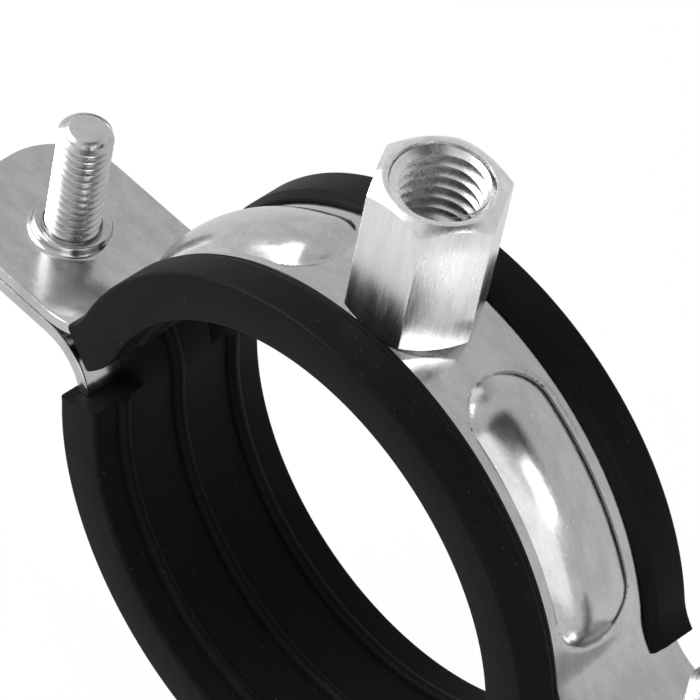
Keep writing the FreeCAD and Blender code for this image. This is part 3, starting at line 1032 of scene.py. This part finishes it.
@dataclass
class ConnectionNut:
    """The hexagonal nut that is welded on top, with an M10 thread over an M8 one."""

    flats: float = 13.0
    top: float = 50.55
    base: float = 33.0
    face_radius: float = 5.9
    chamfer: float = 38.0
    base_radius: float = 6.35
    corner_radius: float = 7.46
    foot_radius: float = 5.9
    mouth_radius: float = 5.35
    countersink: float = 0.75
    foot_rise: float = 0.2
    weld_sink: float = 0.2
    bore_play: float = 0.02
    bore_floor: float = 0.05
    step_drop: float = 0.6
    large_major: float = 5.0
    large_depth: float = 9.0
    large_ridge: Ridge = Ridge(1.5, 0.31, 0.92, 0.3, 1.32)
    large_turns: float = 6.1
    large_start: float = 0.3
    small_major: float = 4.0
    small_ridge: Ridge = Ridge(1.25, 0.28, 0.78, 0.25, 1.1)
    small_turns: float = 5.6
    small_start: float = 0.5
    edge: float = 0.12
    around: int = 120
    corner_turns: tuple[float, ...] = (-1.4, -0.7, 0.0, 0.7, 1.4)
    sharp: float = 24.0

    def hexagon(self, turns: np.ndarray) -> np.ndarray:
        """Give the radius of the hexagon at each angle, its corners slightly broken."""
        from_face = (turns % (math.pi / 3)) - math.pi / 6
        return np.minimum(self.flats / 2 / np.cos(from_face), self.corner_radius)

    def outer_rows(self, turns: np.ndarray) -> list[np.ndarray]:
        """Give the rows of radius and height up the outside, from the foot to the top face.

        Args:
            turns: The angles of the columns.

        Returns:
            One array of radius and height for each row.
        """
        slope = math.tan(math.radians(self.chamfer))
        radius = self.hexagon(turns)
        low = self.base + (radius - self.base_radius).clip(0) * slope
        high = self.top - (radius - self.face_radius) * slope
        level, edge = np.ones_like(turns), self.edge
        foot, seat, face = self.foot_radius * level, self.base_radius * level, self.face_radius * level
        rows = [(foot, (SIZES.band_outer - self.weld_sink) * level),
                (foot, (self.base + self.foot_rise) * level),
                (seat - 0.1, self.base * level), (seat, self.base * level),
                (radius - 0.05, low - 0.04), (radius, low + edge)]
        rows += [(radius, low + (high - low) * share) for share in (0.25, 0.5, 0.75)]
        rows += [(radius, high - edge), (radius - edge * 0.35, high + edge * 0.25),
                 (face + edge, (self.top - edge * 0.6) * level), (face - edge * 0.4, self.top * level)]
        return [np.column_stack(row) for row in rows]

    def bore_profile(self) -> list[Point]:
        """Give the radius and height down the inside, from the mouth to the band.

        Returns:
            The points of the bore's profile.
        """
        step, floor = self.top - self.large_depth, SIZES.band_outer + self.bore_floor
        mouth_drop = self.mouth_radius - self.large_major + self.countersink
        small = self.small_major - self.bore_play
        return [(self.mouth_radius + self.edge, self.top), (self.mouth_radius, self.top - 0.05),
                (self.large_major, self.top - mouth_drop), (self.large_major, step),
                (small, step - self.step_drop), (small, floor), (0.0, floor)]

    def build(self, finish: bpy.types.Material, threads: ThreadTree) -> None:
        """Build the nut with both threads, and dress it.

        Args:
            finish: The nut's material.
            threads: The tree that winds its threads.
        """
        near = np.radians(self.corner_turns)
        columns = [np.linspace(0, FULL_TURN, self.around, endpoint=False)]
        columns += [corner + near for corner in np.arange(0, FULL_TURN, math.pi / 3)]
        turns = np.unique(np.round(np.concatenate(columns) % FULL_TURN, 6))
        inside = self.bore_profile() + [(0.0, SIZES.band_outer - self.weld_sink)]
        rows = self.outer_rows(turns)
        rows += [np.column_stack((np.full_like(turns, radius), np.full_like(turns, height)))
                 for radius, height in inside]
        points = np.vstack([np.column_stack((row[:, 0] * np.cos(turns), row[:, 0] * np.sin(turns), row[:, 1]))
                            for row in rows])
        faces = quads(len(rows), len(turns), wrap_rows=True)
        nut = mesh_piece("connection_nut_body", points, faces, self.sharp)
        dress(nut, finish, "upper_half", "zinc_nut", "connection_nut")
        large = (self.large_ridge, self.large_major, self.top - self.large_depth - self.large_start,
                 self.large_turns)
        small = (self.small_ridge, self.small_major, SIZES.band_outer + self.small_start, self.small_turns)
        for word, thread in (("large", large), ("small", small)):
            dress(threads.wind(f"nut_thread_{word}", finish, *thread), finish, "upper_half", "zinc_nut")


# Clamping screws


@dataclass
class ClampScrew:
    """An M6 screw that stands tip up through the flanges, its head underneath."""

    side: Side
    ridge: Ridge = Ridge(1.0, 0.32, 0.64, 0.86, 0.16)
    core_depth: float = 0.55
    shank: float = 1.0
    shank_end: float = 1.4
    thread_end: float = 0.35
    tip_steps: tuple[Point, ...] = ((0.0, 0.75), (0.1, 0.35), (0.45, 0.05), (0.62, 0.0))
    head_radius: float = 5.8
    head_height: float = 3.6
    head_dome: float = 1.5
    head_edge: float = 0.12
    head_play: float = 0.05
    recess_length: float = 6.2
    recess_slot: float = 1.3
    recess_depth: float = 2.0
    recess_mouth: float = 1.1
    recess_foot: float = 0.62
    sharp: float = 30.0

    @property
    def seat(self) -> float:
        """Give the height of the head's upper face."""
        return SIZES.flange_bottom - self.head_play

    @property
    def bottom(self) -> float:
        """Give the height of the head's lowest point."""
        return self.seat - self.head_height

    @property
    def tip(self) -> float:
        """Give the height of the screw's tip."""
        return SIZES.flange_top + SIZES.screw_above

    def profile(self) -> list[Point]:
        """Give the turned outline, from the middle of the head to the tip.

        Returns:
            The points of the screw's profile.
        """
        core, edge = SIZES.screw_radius - self.core_depth, self.head_edge
        dome = [(self.head_radius * math.sin(turn), self.bottom + self.head_dome * (1 - math.cos(turn)))
                for turn in np.linspace(0.0, math.pi / 2, 12)]
        neck = [(self.head_radius, self.seat - edge), (self.head_radius - edge, self.seat),
                (SIZES.screw_radius, self.seat), (SIZES.screw_radius, self.seat + self.shank),
                (core, self.seat + self.shank_end)]
        end = [(core - inset, self.tip - drop) for inset, drop in self.tip_steps]
        return dome + neck + end + [(0.0, self.tip)]

    def recess(self) -> list[bpy.types.Object]:
        """Make the two crossed wedges that are cut into the head.

        Returns:
            The closed wedges.
        """
        tools = []
        for name, across, along in (("slot_a", self.recess_length, self.recess_slot),
                                    ("slot_b", self.recess_slot, self.recess_length)):
            points = []
            for height, share in ((self.bottom - 1.0, self.recess_mouth),
                                  (self.bottom + self.recess_depth, self.recess_foot)):
                half_x = across / 2 * (share if across > along else 1.0)
                half_y = along / 2 * (share if along > across else 1.0)
                points += [(self.side.value * SIZES.screw_x + x_sense * half_x, y_sense * half_y, height)
                           for x_sense, y_sense in ((1, 1), (-1, 1), (-1, -1), (1, -1))]
            faces = [(0, 1, 2, 3), (7, 6, 5, 4), (0, 4, 5, 1), (1, 5, 6, 2), (2, 6, 7, 3), (3, 7, 4, 0)]
            tools.append(mesh_piece(name, np.array(points), faces))
        return tools

    def build(self, finish: bpy.types.Material, threads: ThreadTree) -> None:
        """Build the screw with its thread, and dress it.

        Args:
            finish: The screw's material.
            threads: The tree that winds its thread.
        """
        name, centre_x = self.side.name.lower(), self.side.value * SIZES.screw_x
        body, start = f"{name}_screw_body", self.seat + self.shank
        screw = lathe(f"{name}_screw_blank", self.profile(), centre_x)
        cut_away(screw, self.recess())
        tidy_mesh(screw.data, self.sharp)
        dress(screw, finish, body, "zinc_screw", f"{name}_screw")
        turns = (self.tip - self.thread_end - start) / self.ridge.pitch
        thread = threads.wind(f"{name}_screw_thread", finish, self.ridge, SIZES.screw_radius, start, turns,
                              centre_x)
        dress(thread, finish, body, "zinc_screw")


# Studio


@dataclass(frozen=True)
class Lamp:
    """A soft square lamp: its place and its side in metres, and its power in watts."""

    name: str
    place: tuple[float, float, float]
    size: float
    power: float

    def hang(self) -> None:
        """Hang the lamp so that it faces the object."""
        data = bpy.data.lights.new(self.name, "AREA")
        data.size = self.size
        data.energy = self.power
        lamp = bpy.data.objects.new(self.name, data)
        lamp.location = self.place
        lamp.rotation_euler = (-Vector(self.place)).to_track_quat("-Z", "Y").to_euler()
        bpy.context.scene.collection.objects.link(lamp)


@dataclass
class Studio:
    """The pale floor, the soft lights and the camera that looks as the photograph does."""

    azimuth: float = 0.6477
    elevation: float = 0.826
    roll: float = -0.2103
    focal_pixels: float = 6227.0
    distance: float = 638.87
    shift_right: float = 1.789
    shift_up: float = -17.18
    picture: float = 700.0
    sensor: float = 36.0
    farthest: float = 10.0
    floor_height: float = -60.0
    floor_side: float = 3000.0
    floor_tone: float = 0.8
    mirrored_floor: float = 0.85
    seen_floor: float = 1.12
    shadow_free: float = 0.75
    sky_level: float = 0.72
    sky_overhead: float = 0.64
    sky_height: float = 0.8
    ambient: float = 0.15
    dark_card: tuple[float, float, float] = (0.5, -0.03, 0.866)
    card_edge: tuple[float, float] = (0.87, 0.96)
    card_tone: float = 0.08
    lamps: tuple[Lamp, ...] = (Lamp("key", (-0.62, -0.3, 0.5), 0.6, 7.5),
                               Lamp("fill", (0.7, -0.5, 0.45), 1.0, 2.4),
                               Lamp("back", (0.67, 0.0, 0.57), 0.26, 1.1))

    def axes(self) -> tuple[Vector, Vector, Vector]:
        """Give the camera's right, up and back directions.

        Returns:
            The three directions, each one long.
        """
        azimuth, elevation = self.azimuth, self.elevation
        back = Vector((math.sin(azimuth) * math.cos(elevation), -math.cos(azimuth) * math.cos(elevation),
                       math.sin(elevation)))
        right = Vector((math.cos(azimuth), math.sin(azimuth), 0))
        up = back.cross(right)
        cosine, sine = math.cos(self.roll), math.sin(self.roll)
        return cosine * right - sine * up, sine * right + cosine * up, back

    def camera(self) -> None:
        """Place the camera."""
        right, up, back = self.axes()
        data = bpy.data.cameras.new("camera")
        data.sensor_width = self.sensor
        data.lens = self.focal_pixels * self.sensor / self.picture
        data.clip_end = self.farthest
        place = right * -self.shift_right + up * -self.shift_up + back * self.distance
        matrix = Matrix((right, up, back)).transposed().to_4x4()
        matrix.translation = place * MM
        camera = bpy.data.objects.new("camera", data)
        camera.matrix_world = matrix
        bpy.context.scene.collection.objects.link(camera)
        bpy.context.scene.camera = camera

    def floor(self) -> None:
        """Lay the pale floor, white where it is seen or mirrored, apart from the object's soft shadow."""
        size, height = self.floor_side, self.floor_height
        points = np.array([(-size, -size, height), (size, -size, height), (size, size, height),
                           (-size, size, height)])
        floor = mesh_piece("floor", points, [(0, 1, 2, 3)])
        material, shader = new_material("pale_floor")
        tone = self.floor_tone
        set_inputs(shader, {"Base Color": (tone, tone, tone, 1), "Roughness": 1.0, "Specular IOR Level": 0.0})
        tree, add = material.node_tree, material.node_tree.nodes.new
        path, glow, mix = add("ShaderNodeLightPath"), add("ShaderNodeEmission"), add("ShaderNodeMixShader")
        either, part, level = add("ShaderNodeMath"), add("ShaderNodeMath"), add("ShaderNodeMapRange")
        either.operation, part.operation = "MAXIMUM", "MULTIPLY"
        part.inputs[1].default_value = self.shadow_free
        set_inputs(level, {"To Min": self.mirrored_floor, "To Max": self.seen_floor})
        join(tree, [(path.outputs["Is Camera Ray"], either.inputs[0]),
                    (path.outputs["Is Glossy Ray"], either.inputs[1]),
                    (either.outputs["Value"], part.inputs[0]), (part.outputs["Value"], mix.inputs["Fac"]),
                    (path.outputs["Is Camera Ray"], level.inputs["Value"]),
                    (level.outputs["Result"], glow.inputs["Strength"]),
                    (shader.outputs["BSDF"], mix.inputs[1]), (glow.outputs["Emission"], mix.inputs[2]),
                    (mix.outputs["Shader"], tree.nodes["Material Output"].inputs["Surface"])])
        floor.data.materials.append(material)

    def world(self) -> None:
        """Set the surroundings: white where they are seen, grey with a dark card where they are mirrored."""
        world = bpy.data.worlds.new("surroundings")
        world.use_nodes = True
        tree, add = world.node_tree, world.node_tree.nodes.new
        background = tree.nodes["Background"]
        path, place = add("ShaderNodeLightPath"), add("ShaderNodeTexCoord")
        parts = add("ShaderNodeSeparateXYZ")
        sky, toward, card = add("ShaderNodeMapRange"), add("ShaderNodeVectorMath"), add("ShaderNodeMapRange")
        both, shiny, seen = add("ShaderNodeMath"), add("ShaderNodeMix"), add("ShaderNodeMix")
        toward.operation, both.operation = "DOT_PRODUCT", "MULTIPLY"
        sky.interpolation_type = card.interpolation_type = "SMOOTHSTEP"
        toward.inputs[1].default_value = self.dark_card
        card_start, card_stop = self.card_edge
        set_inputs(sky, {"From Min": 0.0, "From Max": self.sky_height, "To Min": self.sky_level,
                         "To Max": self.sky_overhead})
        set_inputs(card, {"From Min": card_start, "From Max": card_stop, "To Min": 1.0,
                          "To Max": self.card_tone})
        set_inputs(background, {"Color": (1, 1, 1, 1)})
        set_inputs(shiny, {"A": self.ambient})
        set_inputs(seen, {"B": 1.0})
        join(tree, [(place.outputs["Generated"], parts.inputs["Vector"]),
                    (parts.outputs["Z"], sky.inputs["Value"]),
                    (place.outputs["Generated"], toward.inputs[0]),
                    (toward.outputs["Value"], card.inputs["Value"]),
                    (sky.outputs["Result"], both.inputs[0]), (card.outputs["Result"], both.inputs[1]),
                    (path.outputs["Is Glossy Ray"], shiny.inputs["Factor"]),
                    (both.outputs["Value"], shiny.inputs["B"]),
                    (path.outputs["Is Camera Ray"], seen.inputs["Factor"]),
                    (shiny.outputs["Result"], seen.inputs["A"]),
                    (seen.outputs["Result"], background.inputs["Strength"])])
        bpy.context.scene.world = world

    def build(self) -> None:
        """Set up the camera, floor, lamps and world."""
        self.camera()
        self.floor()
        self.world()
        for lamp in self.lamps:
            lamp.hang()
        bpy.context.scene.view_settings.view_transform = "Standard"


def main() -> None:
    """Build every piece in order, then the studio."""
    logging.basicConfig(level=logging.INFO, format="%(name)s: %(message)s")
    sheet = ZincFinish("zinc_sheet_finish", 0.56, 0.17, (1500, 3200, 1500), 0.35).material()
    nut_finish = ZincFinish("zinc_nut_finish", 0.82, 0.24, (4200, 4200, 420), 0.4).material()
    screw_finish = ZincFinish("zinc_screw_finish", 0.62, 0.27, (2600, 2600, 2600), 0.2).material()
    rubber = RubberFinish("lining_rubber_finish", 0.006, 0.5).material()
    threads = ThreadTree()
    for half in Half:
        Band(half).build(sheet)
        Lining(half).build(rubber)
    ConnectionNut().build(nut_finish, threads)
    for side in Side:
        ClampScrew(side).build(screw_finish, threads)
    Studio().build()


if __name__ == "__main__":
    main()
